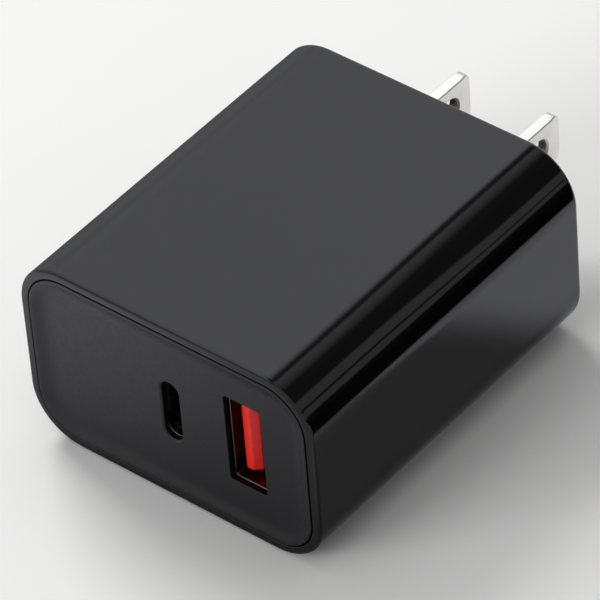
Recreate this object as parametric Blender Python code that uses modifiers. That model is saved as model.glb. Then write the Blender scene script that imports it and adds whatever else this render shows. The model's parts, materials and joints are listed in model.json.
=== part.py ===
"""Plug-in USB wall charger with a USB-C and a USB-A socket, built as an assembly of separate parts.

The origin is the middle of the footprint, +Z is up, the sockets face -Y and the plug blades point to +Y.
"""

import math

import bmesh
import bpy

MM = 0.001
QUARTER = math.radians(90)
GAP = 0.3 * MM  # between neighbouring parts
FINE_GAP = 0.1 * MM  # round the thin parts inside a socket
SINK = 0.4 * MM  # how far a joined shape reaches into the shape it is joined to
PASS = 1.0 * MM  # how far a cutter reaches past the face it cuts
WELD = 0.001 * MM
CORNER_STEPS = 8
TURN_STEPS = 20
SMOOTH_ANGLE = math.radians(35)

# Rotations that stand a shape up: a stack of outlines along +Y, a flat outline in the XZ plane
# and a flat outline in the YZ plane
ALONG_Y = (-QUARTER, 0, 0)
FACING_Y = (QUARTER, 0, 0)
FACING_X = (QUARTER, 0, QUARTER)

# Body and plug, the driving dimensions
BODY_WIDTH = 41.0 * MM
BODY_HEIGHT = 25.4 * MM
BODY_LENGTH = 46.9 * MM
BODY_RADIUS = 6.5 * MM
BLADE_REACH = 14.2 * MM  # from the body's rear rim to the blade tips
BLADE_SPACING = 12.7 * MM
BLADE_THICK = 1.5 * MM
BLADE_HEIGHT = 6.35 * MM
BLADE_TIP_RADIUS = 1.6 * MM
BLADE_TAIL = 9.1 * MM  # inside, in front of the rear rim
BLADE_HOLE_RADIUS = 1.59 * MM
BLADE_HOLE_FROM_TIP = 4.0 * MM

TIP_Y = (BODY_LENGTH + BLADE_REACH) / 2
FRONT_Y = -TIP_Y
REAR_Y = FRONT_Y + BODY_LENGTH
MID_Z = BODY_HEIGHT / 2

# Sleeve
WALL = 1.8 * MM
RIM = 1.1 * MM
FRONT_ROUND = 0.3 * MM
REAR_ROUND = 0.6 * MM
FRONT_REBATE = 2.4 * MM
RAIL_SIZE = (3.5 * MM, 22.0 * MM, 2.8 * MM)
RAIL_CENTRE = (16.25 * MM, -0.65 * MM, 2.9 * MM)

# Front panel
PANEL_INSET = RIM + GAP
DISH_DEPTH = 0.7 * MM
# The dish's floor at insets from the outer skin, in millimetres, as a share of its depth
DISH_PROFILE = ((4.1, 1.0), (3.5, 0.9), (2.9, 0.6), (2.4, 0.25), (1.9, 0.05), (1.65, 0.0))
PANEL_THICK = 1.0 * MM
SKIRT_WALL = 1.0 * MM
SKIRT_END = FRONT_Y + 6.9 * MM
HOOK_SIZE = (8.0 * MM, 1.2 * MM, 0.9 * MM)
HOOK_DEPTH = 4.9 * MM  # from the front rim
POST_RADIUS = 1.2 * MM
POST_X = 14.9 * MM
POST_Z = 6.6 * MM

# Rear cover
PLATE_RECESS = 1.6 * MM
PLATE_THICK = 1.6 * MM
REAR_REBATE = PLATE_RECESS + PLATE_THICK + GAP
BOSS_HALF_X = 8.2 * MM
BOSS_HALF_Z = 4.6 * MM
BOSS_DEPTH = 3.3 * MM

# Sockets: both stand upright and have their mouth just behind the front panel
SOCKET_Y = FRONT_Y + 2.0 * MM
SOCKET_LENGTH = 12.2 * MM
SOCKET_WALL = 0.3 * MM

USB_A_X = 10.05 * MM
USB_A_HALF = (2.86 * MM, 6.57 * MM)  # half width and half height of the shell, outside
USB_A_RADIUS = 0.9 * MM
USB_A_WINDOW = (6.45 * MM, 2.7 * MM, 0.5 * MM)  # half height, half width and corner radius in the panel
USB_A_BASE_DEPTH = 10.7 * MM
TONGUE_LOW_X = -1.70 * MM
TONGUE_HIGH_X = 0.14 * MM
TONGUE_FRONT = 0.6 * MM
TONGUE_NOSE = 1.0 * MM  # width of the flat nose, beside the bevel on the contacts' side
TONGUE_BEVEL = 0.8 * MM  # length of that bevel into the socket
TONGUE_HALF_Z = 5.55 * MM
CONTACT_Z = (-3.5 * MM, -1.0 * MM, 1.0 * MM, 3.5 * MM)
CONTACT_WIDTH = 0.7 * MM
CONTACT_THICK = 0.3 * MM
CONTACT_ROOT = (-0.40 * MM, 10.7 * MM)  # where the spring bends, across and into the socket
# The spring's middle line, across and into the socket, in millimetres
CONTACT_PATH = ((-0.40, 14.3), (-0.40, 10.2), (0.22, 5.2), (0.46, 3.9), (0.46, 3.1), (-0.05, 1.7))
GROOVE_LOW_X = -1.10 * MM
GROOVE_FRONT = 1.3 * MM
GROOVE_HIGH_X = 0.30 * MM

USB_C_X = -0.3 * MM
USB_C_DROP = 0.2 * MM  # below the middle of the panel
USB_C_HALF = (1.63 * MM, 4.47 * MM)
USB_C_RADIUS = 1.60 * MM
USB_C_WINDOW = (4.35 * MM, 1.4 * MM, 1.38 * MM)  # in the panel, like the other one
USB_C_BASE_DEPTH = 5.5 * MM
USB_C_TONGUE_FRONT = 1.0 * MM
USB_C_TONGUE_HALF = (0.35 * MM, 3.34 * MM)
PIN_Z = (-2.4 * MM, 0.0, 2.4 * MM)
PIN_SIZE = (0.15 * MM, 0.5 * MM)
PIN_FRONT = 1.6 * MM
PIN_END = 14.3 * MM

# Circuit boards
PORT_BOARD_THICK = 1.2 * MM
PORT_BOARD_Y = SOCKET_Y + SOCKET_LENGTH + GAP + PORT_BOARD_THICK / 2
PORT_BOARD_INSET = WALL + 1.3 * MM
MAIN_BOARD_HALF = (17.0 * MM, 13.5 * MM)
MAIN_BOARD_RADIUS = 1.0 * MM
MAIN_BOARD_CENTRE = (0.0, -0.85 * MM, 5.4 * MM)
MAIN_BOARD_THICK = 1.6 * MM
BOARD_TOP = MAIN_BOARD_CENTRE[2] + MAIN_BOARD_THICK / 2 + GAP
BOARD_UNDER = MAIN_BOARD_CENTRE[2] - MAIN_BOARD_THICK / 2 - GAP
LINK_X = (0.6 * MM, 2.4 * MM, 4.2 * MM, 6.0 * MM)
LINK_Z = 7.75 * MM
LINK_Y = -13.05 * MM
LINK_FRONT = -16.55 * MM
LINK_LOW = 4.0 * MM
LINK_RADIUS = 0.3 * MM
LINK_HOLE = 1.2 * MM

# Leaves that touch the blades' tails: (x, z) from the middle, in millimetres, for the +X side
LEAF_PATH = ((4.8, 4.0), (4.8, 10.6), (5.1, 12.0), (5.1, 13.0), (4.6, 14.6))
LEAF_THICK = 0.4 * MM
LEAF_Y = 8.25 * MM
LEAF_WIDTH = 2.4 * MM
LEAF_HOLE = (1.2 * MM, 3.2 * MM)

# Transformer
TRANSFORMER = (8.0 * MM, -2.65 * MM, 14.0 * MM)
CORE_HALF_X = 7.5 * MM
CORE_HALF_Z = 7.3 * MM
CORE_BACK = 2.6 * MM
CORE_DEPTH = 5.0 * MM
CENTRE_LEG = 4.0 * MM
BOBBIN_WALL = 0.6 * MM
FLANGE_THICK = 0.8 * MM
FLANGE_HALF = (4.6 * MM, 6.2 * MM)
WINDING_HALF = (4.4 * MM, 5.9 * MM)

# Common-mode choke
CHOKE = (-4.2 * MM, 2.65 * MM, 12.9 * MM)
CHOKE_HALF = (3.4 * MM, 6.0 * MM)
CHOKE_LEG = 1.8 * MM
CHOKE_DEPTH = 3.0 * MM
COIL_WALL = 0.35 * MM

# Turned parts: radius and height, with (x, y) of the axis
BULK_CAPACITOR = (4.0 * MM, 15.2 * MM)
BULK_PLACES = ((-12.6 * MM, 8.45 * MM), (-12.6 * MM, 0.05 * MM))
OUTPUT_CAPACITOR = (3.15 * MM, 8.5 * MM)
OUTPUT_PLACES = ((-4.0 * MM, -10.65 * MM), (-12.6 * MM, -10.65 * MM))
FUSE = (2.0 * MM, 8.0 * MM)
FUSE_PLACE = (11.2 * MM, 6.55 * MM)
CAN_ROUND = 0.5 * MM  # round the top
CAN_FOOT = 0.25 * MM
CAN_GROOVE = (1.5 * MM, 0.5 * MM, 0.25 * MM)  # height above the foot, half width and depth
DISC_ROUND = 0.7 * MM
VARISTOR = (4.0 * MM, 3.0 * MM)
VARISTOR_CENTRE = (13.0 * MM, 10.95 * MM, 10.8 * MM)
Y_CAPACITOR = (3.5 * MM, 2.4 * MM)
Y_CAPACITOR_CENTRE = (-12.6 * MM, -5.7 * MM, 10.3 * MM)

# Heat spreader: (x, z) path in millimetres, bent over the transformer
SPREADER_PATH = ((-13.5, 22.95), (14.2, 22.95), (16.6, 21.2), (17.3, 19.0), (17.3, 10.0))
SPREADER_THICK = 0.5 * MM
SPREADER_LENGTH = 17.0 * MM
SPREADER_Y = -5.15 * MM

# Box-shaped parts, in millimetres: finish, middle, size and edge width. A part on top of the main
# board gives the height of its middle above that board, one under it gives it below.
TOP_PARTS = {
    "x_capacitor": ("yellow_plastic", (-4.2, -4.55, 4.5), (7.4, 4.6, 9.0), 0.4),
    "output_inductor": ("dark_ferrite", (12.0, -11.85, 2.25), (6.0, 4.0, 4.5), 0.4),
}
UNDER_PARTS = {
    "bridge_rectifier": ("black_epoxy", (-6.5, 1.35, 0.7), (6.5, 5.0, 1.4), 0.15),
    "primary_switch": ("black_epoxy", (6.0, 1.35, 0.7), (6.0, 5.0, 1.4), 0.15),
    "optocoupler": ("black_epoxy", (-3.0, -7.15, 0.85), (4.6, 6.5, 1.7), 0.15),
    "sync_rectifier": ("black_epoxy", (6.5, -8.65, 0.7), (5.0, 4.0, 1.4), 0.15),
}
LOOSE_PARTS = {
    "pd_controller": ("black_epoxy", (-8.0, -14.1, 17.5), (4.0, 0.9, 4.0), 0.1),
    "load_switch": ("black_epoxy", (14.8, -14.1, 17.5), (3.2, 0.9, 3.2), 0.1),
    "insulation_sheet": ("paper_sheet", (0.0, -0.65, 2.22), (27.6, 26.0, 0.25), 0.0),
    "thermal_pad": ("grey_silicone", (8.0, -2.65, 22.0), (12.0, 8.0, 0.8), 0.0),
}

# Finish: colour, roughness, metallic
FINISHES = {
    "gloss_black": ((0.012, 0.012, 0.013), 0.12, 0.0),
    "matte_black": ((0.022, 0.022, 0.024), 0.55, 0.0),
    "rear_black": ((0.015, 0.015, 0.016), 0.35, 0.0),
    "nickel": ((0.78, 0.76, 0.72), 0.28, 1.0),
    "bright_steel": ((0.62, 0.62, 0.63), 0.22, 1.0),
    "red_plastic": ((0.62, 0.035, 0.02), 0.35, 0.0),
    "dark_plastic": ((0.02, 0.02, 0.022), 0.45, 0.0),
    "gold": ((0.83, 0.62, 0.28), 0.25, 1.0),
    "board_green": ((0.02, 0.12, 0.05), 0.45, 0.0),
    "tin": ((0.7, 0.7, 0.7), 0.3, 1.0),
    "bronze": ((0.7, 0.45, 0.25), 0.3, 1.0),
    "brown_epoxy": ((0.16, 0.06, 0.03), 0.4, 0.0),
    "blue_epoxy": ((0.05, 0.16, 0.42), 0.35, 0.0),
    "yellow_plastic": ((0.75, 0.55, 0.08), 0.45, 0.0),
    "dark_ferrite": ((0.05, 0.05, 0.055), 0.6, 0.0),
    "copper": ((0.72, 0.3, 0.14), 0.3, 1.0),
    "black_epoxy": ((0.02, 0.02, 0.02), 0.5, 0.0),
    "can_sleeve": ((0.03, 0.05, 0.12), 0.35, 0.0),
    "aluminium": ((0.75, 0.76, 0.77), 0.35, 1.0),
    "yellow_tape": ((0.8, 0.62, 0.1), 0.5, 0.0),
    "paper_sheet": ((0.75, 0.74, 0.7), 0.8, 0.0),
    "grey_silicone": ((0.35, 0.38, 0.42), 0.7, 0.0),
}


def clear_scene():
    for obj in list(bpy.data.objects):
        bpy.data.objects.remove(obj, do_unlink=True)


def new_collection(name):
    collection = bpy.data.collections.new(name)
    bpy.context.scene.collection.children.link(collection)
    return collection


clear_scene()
PARTS = new_collection("usb_wall_charger")
TOOLS = new_collection("cutters_and_joined_shapes")


def finish_material(name):
    """The Principled material of a finish, made on first use."""
    material = bpy.data.materials.get(name)
    if material is None:
        colour, roughness, metallic = FINISHES[name]
        material = bpy.data.materials.new(name)
        material.use_nodes = True
        shader = material.node_tree.nodes["Principled BSDF"]
        shader.inputs["Base Color"].default_value = (*colour, 1.0)
        shader.inputs["Roughness"].default_value = roughness
        shader.inputs["Metallic"].default_value = metallic
    return material


def in_metres(values):
    return tuple(value * MM for value in values)


def smooth(obj):
    obj.data.shade_smooth()
    obj.data.set_sharp_from_angle(angle=SMOOTH_ANGLE)
    return obj


def add_object(name, mesh, finish, location=(0, 0, 0), rotation=(0, 0, 0), parent=None):
    """A part when a finish is given, a cutter or a shape to join when it is None."""
    obj = bpy.data.objects.new(name, mesh)
    obj.location = location
    obj.rotation_euler = rotation
    obj.parent = parent
    if finish is None:
        TOOLS.objects.link(obj)
        obj.hide_render = True
        obj.display_type = "WIRE"
    else:
        PARTS.objects.link(obj)
        mesh.materials.clear()
        mesh.materials.append(finish_material(finish))
    return obj


def add_group(name, location):
    """An empty that carries the parts of one sub-assembly."""
    group = bpy.data.objects.new(name, None)
    group.location = location
    PARTS.objects.link(group)
    return group


def rounded_rectangle(half_x, half_y, radius, centre=(0.0, 0.0)):
    """Outline of a rectangle with round corners, anticlockwise."""
    points = []
    for corner, (side_x, side_y) in enumerate(((1, 1), (-1, 1), (-1, -1), (1, -1))):
        for step in range(CORNER_STEPS + 1):
            angle = QUARTER * (corner + step / CORNER_STEPS)
            x = centre[0] + side_x * (half_x - radius) + radius * math.cos(angle)
            y = centre[1] + side_y * (half_y - radius) + radius * math.sin(angle)
            points.append((x, y))
    return points


def body_outline(inset):
    """The body's cross-section, moved inwards all round."""
    return rounded_rectangle(BODY_WIDTH / 2 - inset, BODY_HEIGHT / 2 - inset, BODY_RADIUS - inset)


def strip_outline(path, thickness):
    """Outline of a bent strip of even thickness along a path of (x, y) points."""
    left = []
    right = []
    for index, (x, y) in enumerate(path):
        before = path[max(index - 1, 0)]
        after = path[min(index + 1, len(path) - 1)]
        run_x = after[0] - before[0]
        run_y = after[1] - before[1]
        length = math.hypot(run_x, run_y)
        side_x = -run_y / length * thickness / 2
        side_y = run_x / length * thickness / 2
        left.append((x + side_x, y + side_y))
        right.append((x - side_x, y - side_y))
    return left + right[::-1]


def mesh_of_curve(name, curve):
    """A closed mesh of a curve, with its loose caps welded on."""
    guide = bpy.data.objects.new(name, curve)
    TOOLS.objects.link(guide)
    graph = bpy.context.evaluated_depsgraph_get()
    mesh = bpy.data.meshes.new_from_object(guide.evaluated_get(graph))
    mesh.name = name
    bm = bmesh.new()
    bm.from_mesh(mesh)
    bmesh.ops.remove_doubles(bm, verts=bm.verts, dist=WELD)
    bmesh.ops.recalc_face_normals(bm, faces=bm.faces)
    bm.to_mesh(mesh)
    bm.free()
    bpy.data.objects.remove(guide, do_unlink=True)
    bpy.data.curves.remove(curve)
    return mesh


def plate(name, finish, outline, thickness, **place):
    """A flat outline in the local XY plane, thickened evenly to both sides."""
    curve = bpy.data.curves.new(name, "CURVE")
    curve.dimensions = "2D"
    curve.fill_mode = "BOTH"
    curve.extrude = thickness / 2
    spline = curve.splines.new("POLY")
    spline.points.add(len(outline) - 1)
    for point, (x, y) in zip(spline.points, outline):
        point.co = (x, y, 0, 1)
    spline.use_cyclic_u = True
    return add_object(name, mesh_of_curve(name, curve), finish, **place)


def stack(name, finish, rings, closed=False, **place):
    """A skin through outlines at local heights. Closed, it returns to the first one, like a tube's wall."""
    bm = bmesh.new()
    loops = []
    for height, outline in rings:
        loops.append([bm.verts.new((x, y, height)) for x, y in outline])
    neighbours = list(zip(loops, loops[1:]))
    if closed:
        neighbours.append((loops[-1], loops[0]))
    else:
        bm.faces.new(loops[0])
        bm.faces.new(loops[-1])
    for lower, upper in neighbours:
        for index in range(len(lower)):
            bm.faces.new((lower[index - 1], lower[index], upper[index], upper[index - 1]))
    bmesh.ops.recalc_face_normals(bm, faces=bm.faces)
    mesh = bpy.data.meshes.new(name)
    bm.to_mesh(mesh)
    bm.free()
    return smooth(add_object(name, mesh, finish, **place))


def tube(name, finish, outer, inner, low, high, **place):
    """A straight tube between two outlines, from one local height to another."""
    rings = [(low, outer), (high, outer), (high, inner), (low, inner)]
    return stack(name, finish, rings, closed=True, **place)


def box(name, finish, centre, size, edge=0.0, parent=None):
    bpy.ops.mesh.primitive_cube_add(size=1)
    cube = bpy.context.object
    mesh = cube.data
    mesh.name = name
    bpy.data.objects.remove(cube, do_unlink=True)
    obj = add_object(name, mesh, finish, location=centre, parent=parent)
    for vert in mesh.vertices:
        vert.co = [part * side for part, side in zip(vert.co, size)]
    if edge:
        bevel = obj.modifiers.new("edges", "BEVEL")
        bevel.width = edge
        bevel.segments = 2
        bevel.limit_method = "NONE"
    return obj


def box_between(name, finish, low, high, parent=None):
    centre = [(a + b) / 2 for a, b in zip(low, high)]
    size = [b - a for a, b in zip(low, high)]
    return box(name, finish, centre, size, parent=parent)


def rod(name, finish, radius, length, **place):
    """A cylinder along local Z, centred."""
    bm = bmesh.new()
    bmesh.ops.create_cone(
        bm, cap_ends=True, segments=TURN_STEPS, radius1=radius, radius2=radius, depth=length
    )
    mesh = bpy.data.meshes.new(name)
    bm.to_mesh(mesh)
    bm.free()
    return smooth(add_object(name, mesh, finish, **place))


def turned(name, finish, profile, **place):
    """A body turned about local Z from a profile of (radius, height) points, top to bottom."""
    bm = bmesh.new()
    verts = [bm.verts.new((radius, 0, height)) for radius, height in profile]
    for pair in zip(verts, verts[1:]):
        bm.edges.new(pair)
    mesh = bpy.data.meshes.new(name)
    bm.to_mesh(mesh)
    bm.free()
    obj = add_object(name, mesh, finish, **place)
    screw = obj.modifiers.new("turn", "SCREW")
    screw.axis = "Z"
    screw.steps = TURN_STEPS
    screw.render_steps = TURN_STEPS
    screw.use_merge_vertices = True
    screw.merge_threshold = WELD
    return obj


def combine(part, tool, operation):
    modifier = part.modifiers.new(tool.name, "BOOLEAN")
    modifier.operation = operation
    modifier.object = tool


def cut(part, tool):
    combine(part, tool, "DIFFERENCE")


def join(part, tool):
    combine(part, tool, "UNION")


def make_sleeve():
    wall_section = (
        (FRONT_Y, FRONT_ROUND),
        (FRONT_Y + FRONT_ROUND, 0.0),
        (REAR_Y - REAR_ROUND, 0.0),
        (REAR_Y, REAR_ROUND),
        (REAR_Y, RIM),
        (REAR_Y - REAR_REBATE, RIM),
        (REAR_Y - REAR_REBATE, WALL),
        (FRONT_Y + FRONT_REBATE, WALL),
        (FRONT_Y + FRONT_REBATE, RIM),
        (FRONT_Y, RIM),
    )
    rings = [(y, body_outline(inset)) for y, inset in wall_section]
    sleeve = stack(
        "housing_sleeve", "gloss_black", rings, closed=True, location=(0, 0, MID_Z), rotation=ALONG_Y
    )
    for side in (-1, 1):
        x, y, z = RAIL_CENTRE
        rail = box(f"board_rail_{side}", None, (side * x, y, z), RAIL_SIZE)
        join(sleeve, rail)
        cut(sleeve, hook(f"hook_pocket_{side}", side, GAP))
    return sleeve


def hook(name, side, clearance):
    """A snap hook on the front panel's skirt, or with clearance the pocket for it in the sleeve."""
    width, length, height = HOOK_SIZE
    root = BODY_HEIGHT / 2 - WALL - GAP - SINK
    z = MID_Z + side * (root + height / 2)
    size = (width + 2 * clearance, length + 2 * clearance, height + 2 * clearance)
    return box(name, None, (0, FRONT_Y + HOOK_DEPTH, z), size)


def make_front_panel():
    skirt_inset = WALL + GAP
    floor_back = FRONT_Y + DISH_DEPTH + PANEL_THICK
    shoulder = FRONT_Y + FRONT_REBATE - GAP
    section = [(FRONT_Y + DISH_DEPTH * deep, inset * MM) for inset, deep in DISH_PROFILE]
    section += [
        (FRONT_Y + GAP / 2, PANEL_INSET),
        (shoulder, PANEL_INSET),
        (shoulder, skirt_inset),
        (SKIRT_END, skirt_inset),
        (SKIRT_END, skirt_inset + SKIRT_WALL),
        (floor_back, skirt_inset + SKIRT_WALL),
    ]
    rings = [(y, body_outline(inset)) for y, inset in section]
    panel = stack("front_panel", "matte_black", rings, location=(0, 0, MID_Z), rotation=ALONG_Y)
    for side in (-1, 1):
        join(panel, hook(f"snap_hook_{side}", side, 0.0))
        for x in (-POST_X, POST_X):
            start = floor_back - SINK
            end = PORT_BOARD_Y - PORT_BOARD_THICK / 2 - GAP
            middle = (x, (start + end) / 2, MID_Z + side * POST_Z)
            post = rod("board_post", None, POST_RADIUS, end - start, location=middle, rotation=FACING_Y)
            join(panel, post)
    for name, x, z, (half_z, half_x, radius) in (
        ("usb_a_window", USB_A_X, MID_Z, USB_A_WINDOW),
        ("usb_c_window", USB_C_X, MID_Z - USB_C_DROP, USB_C_WINDOW),
    ):
        outline = rounded_rectangle(half_x, half_z, radius)
        start = FRONT_Y - PASS
        window = stack(
            name,
            None,
            [(start, outline), (floor_back + PASS, outline)],
            location=(x, 0, z),
            rotation=ALONG_Y,
        )
        cut(panel, window)
    return panel


def make_plug():
    face = REAR_Y - PLATE_RECESS
    rings = [
        (face, body_outline(PANEL_INSET + GAP)),
        (face - GAP, body_outline(PANEL_INSET)),
        (face - PLATE_THICK, body_outline(PANEL_INSET)),
    ]
    cover = stack("plug_plate", "rear_black", rings, location=(0, 0, MID_Z), rotation=ALONG_Y)
    boss_start = face - PLATE_THICK - BOSS_DEPTH
    boss_end = face - PLATE_THICK + SINK
    boss = box_between(
        "blade_boss",
        None,
        (-BOSS_HALF_X, boss_start, MID_Z - BOSS_HALF_Z),
        (BOSS_HALF_X, boss_end, MID_Z + BOSS_HALF_Z),
    )
    join(cover, boss)
    half_x = BLADE_THICK / 2 + GAP
    half_z = BLADE_HEIGHT / 2 + GAP
    for side, x in (("left", -BLADE_SPACING / 2), ("right", BLADE_SPACING / 2)):
        slot = box_between(
            f"blade_slot_{side}",
            None,
            (x - half_x, boss_start - PASS, MID_Z - half_z),
            (x + half_x, face + PASS, MID_Z + half_z),
        )
        cut(cover, slot)
        make_blade(side, x)
        make_mains_spring(side, math.copysign(1, x))


def make_blade(side, x):
    start = REAR_Y - BLADE_TAIL
    half_z = BLADE_HEIGHT / 2
    corner = BLADE_TIP_RADIUS
    outline = [(start, half_z), (start, -half_z)]
    for turn, side_z in ((-1, -1), (0, 1)):
        for step in range(CORNER_STEPS + 1):
            angle = QUARTER * (turn + step / CORNER_STEPS)
            y = TIP_Y - corner + corner * math.cos(angle)
            z = side_z * (half_z - corner) + corner * math.sin(angle)
            outline.append((y, z))
    blade = plate(
        f"blade_{side}", "nickel", outline, BLADE_THICK, location=(x, 0, MID_Z), rotation=FACING_X
    )
    hole = rod(
        f"blade_hole_{side}",
        None,
        BLADE_HOLE_RADIUS,
        BLADE_THICK + 2 * PASS,
        location=(x, TIP_Y - BLADE_HOLE_FROM_TIP, MID_Z),
        rotation=(0, QUARTER, 0),
    )
    cut(blade, hole)


def make_mains_spring(side, sign):
    path = [(sign * x * MM, z * MM) for x, z in LEAF_PATH]
    outline = strip_outline(path, LEAF_THICK)
    plate(
        f"mains_spring_{side}", "bronze", outline, LEAF_WIDTH, location=(0, LEAF_Y, 0), rotation=FACING_Y
    )


def make_usb_a(port_board):
    socket = add_group("usb_a_socket", (USB_A_X, SOCKET_Y, MID_Z))
    half_x, half_z = USB_A_HALF
    inner_x = half_x - SOCKET_WALL
    inner_z = half_z - SOCKET_WALL
    inner_radius = USB_A_RADIUS - SOCKET_WALL
    tube(
        "usb_a_shell",
        "bright_steel",
        rounded_rectangle(half_x, half_z, USB_A_RADIUS),
        rounded_rectangle(inner_x, inner_z, inner_radius),
        0.0,
        SOCKET_LENGTH,
        rotation=ALONG_Y,
        parent=socket,
    )
    base = rounded_rectangle(inner_x - FINE_GAP, inner_z - FINE_GAP, inner_radius - FINE_GAP)
    insulator = stack(
        "usb_a_insulator",
        "red_plastic",
        [(USB_A_BASE_DEPTH, base), (SOCKET_LENGTH, base)],
        rotation=ALONG_Y,
        parent=socket,
    )
    root = USB_A_BASE_DEPTH + SINK
    tongue_outline = (
        (TONGUE_LOW_X, root),
        (TONGUE_LOW_X, TONGUE_FRONT),
        (TONGUE_LOW_X + TONGUE_NOSE, TONGUE_FRONT),
        (TONGUE_HIGH_X, TONGUE_FRONT + TONGUE_BEVEL),
        (TONGUE_HIGH_X, root),
    )
    tongue = plate("usb_a_tongue", None, tongue_outline, 2 * TONGUE_HALF_Z, parent=socket)
    join(insulator, tongue)
    root_x, root_depth = CONTACT_ROOT
    path = [(x * MM - root_x, depth * MM - root_depth) for x, depth in CONTACT_PATH]
    outline = strip_outline(path, CONTACT_THICK)
    half_groove = CONTACT_WIDTH / 2 + GAP
    for number, z in enumerate(CONTACT_Z, start=1):
        plate(
            f"usb_a_contact_{number}",
            "gold",
            outline,
            CONTACT_WIDTH,
            location=(root_x, root_depth, z),
            parent=socket,
        )
        groove = box_between(
            f"usb_a_groove_{number}",
            None,
            (GROOVE_LOW_X, GROOVE_FRONT, z - half_groove),
            (GROOVE_HIGH_X, SOCKET_LENGTH + PORT_BOARD_THICK + PASS, z + half_groove),
            parent=socket,
        )
        cut(insulator, groove)
        cut(port_board, groove)


def make_usb_c(port_board):
    socket = add_group("usb_c_socket", (USB_C_X, SOCKET_Y, MID_Z - USB_C_DROP))
    half_x, half_z = USB_C_HALF
    inner_x = half_x - SOCKET_WALL
    inner_z = half_z - SOCKET_WALL
    inner_radius = USB_C_RADIUS - SOCKET_WALL
    tube(
        "usb_c_shell",
        "bright_steel",
        rounded_rectangle(half_x, half_z, USB_C_RADIUS),
        rounded_rectangle(inner_x, inner_z, inner_radius),
        0.0,
        SOCKET_LENGTH,
        rotation=ALONG_Y,
        parent=socket,
    )
    base = rounded_rectangle(inner_x - FINE_GAP, inner_z - FINE_GAP, inner_radius - FINE_GAP)
    insulator = stack(
        "usb_c_insulator",
        "dark_plastic",
        [(USB_C_BASE_DEPTH, base), (SOCKET_LENGTH, base)],
        rotation=ALONG_Y,
        parent=socket,
    )
    tongue_x, tongue_z = USB_C_TONGUE_HALF
    tongue = box_between(
        "usb_c_tongue",
        None,
        (-tongue_x, USB_C_TONGUE_FRONT, -tongue_z),
        (tongue_x, USB_C_BASE_DEPTH + SINK, tongue_z),
        parent=socket,
    )
    join(insulator, tongue)
    thick, width = PIN_SIZE
    size = (thick, PIN_END - PIN_FRONT, width)
    row_x = tongue_x + FINE_GAP + thick / 2
    half_hole_x = thick / 2 + FINE_GAP
    half_hole_z = width / 2 + FINE_GAP
    number = 0
    for side in (-1, 1):
        x = side * row_x
        for z in PIN_Z:
            number += 1
            box(f"usb_c_contact_{number}", "gold", (x, (PIN_FRONT + PIN_END) / 2, z), size, parent=socket)
            hole = box_between(
                f"usb_c_hole_{number}",
                None,
                (x - half_hole_x, USB_C_BASE_DEPTH - PASS / 2, z - half_hole_z),
                (x + half_hole_x, PIN_END + PASS, z + half_hole_z),
                parent=socket,
            )
            cut(insulator, hole)
            cut(port_board, hole)


def make_link_pin(number, x, port_board, main_board):
    """A bent pin between the boards, and its hole in each."""
    curve = bpy.data.curves.new(f"link_pin_{number}", "CURVE")
    curve.dimensions = "3D"
    curve.bevel_depth = LINK_RADIUS
    curve.bevel_resolution = 1
    curve.use_fill_caps = True
    spline = curve.splines.new("POLY")
    path = ((x, LINK_FRONT, LINK_Z), (x, LINK_Y, LINK_Z), (x, LINK_Y, LINK_LOW))
    spline.points.add(len(path) - 1)
    for point, place in zip(spline.points, path):
        point.co = (*place, 1)
    mesh = mesh_of_curve(curve.name, curve)
    smooth(add_object(mesh.name, mesh, "tin"))
    for board, place in (
        (port_board, (x, PORT_BOARD_Y, LINK_Z)),
        (main_board, (x, LINK_Y, MAIN_BOARD_CENTRE[2])),
    ):
        hole = box(f"{board.name}_link_hole_{number}", None, place, (LINK_HOLE, 2 * PASS, LINK_HOLE))
        if board is main_board:
            hole.rotation_euler = FACING_Y
        cut(board, hole)


def make_boards():
    """Both boards with their link pins. The upright one is returned for the sockets to cut."""
    port_outline = body_outline(PORT_BOARD_INSET)
    port_board = plate(
        "port_board",
        "board_green",
        port_outline,
        PORT_BOARD_THICK,
        location=(0, PORT_BOARD_Y, MID_Z),
        rotation=FACING_Y,
    )
    main_outline = rounded_rectangle(*MAIN_BOARD_HALF, MAIN_BOARD_RADIUS)
    main_board = plate(
        "main_board", "board_green", main_outline, MAIN_BOARD_THICK, location=MAIN_BOARD_CENTRE
    )
    for number, x in enumerate(LINK_X, start=1):
        make_link_pin(number, x, port_board, main_board)
    leaf_x = LEAF_PATH[0][0] * MM
    for side in (-1, 1):
        width, length = LEAF_HOLE
        place = (side * leaf_x, LEAF_Y, MAIN_BOARD_CENTRE[2])
        cut(main_board, box(f"leaf_hole_{side}", None, place, (width, length, 2 * PASS)))
    return port_board


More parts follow.
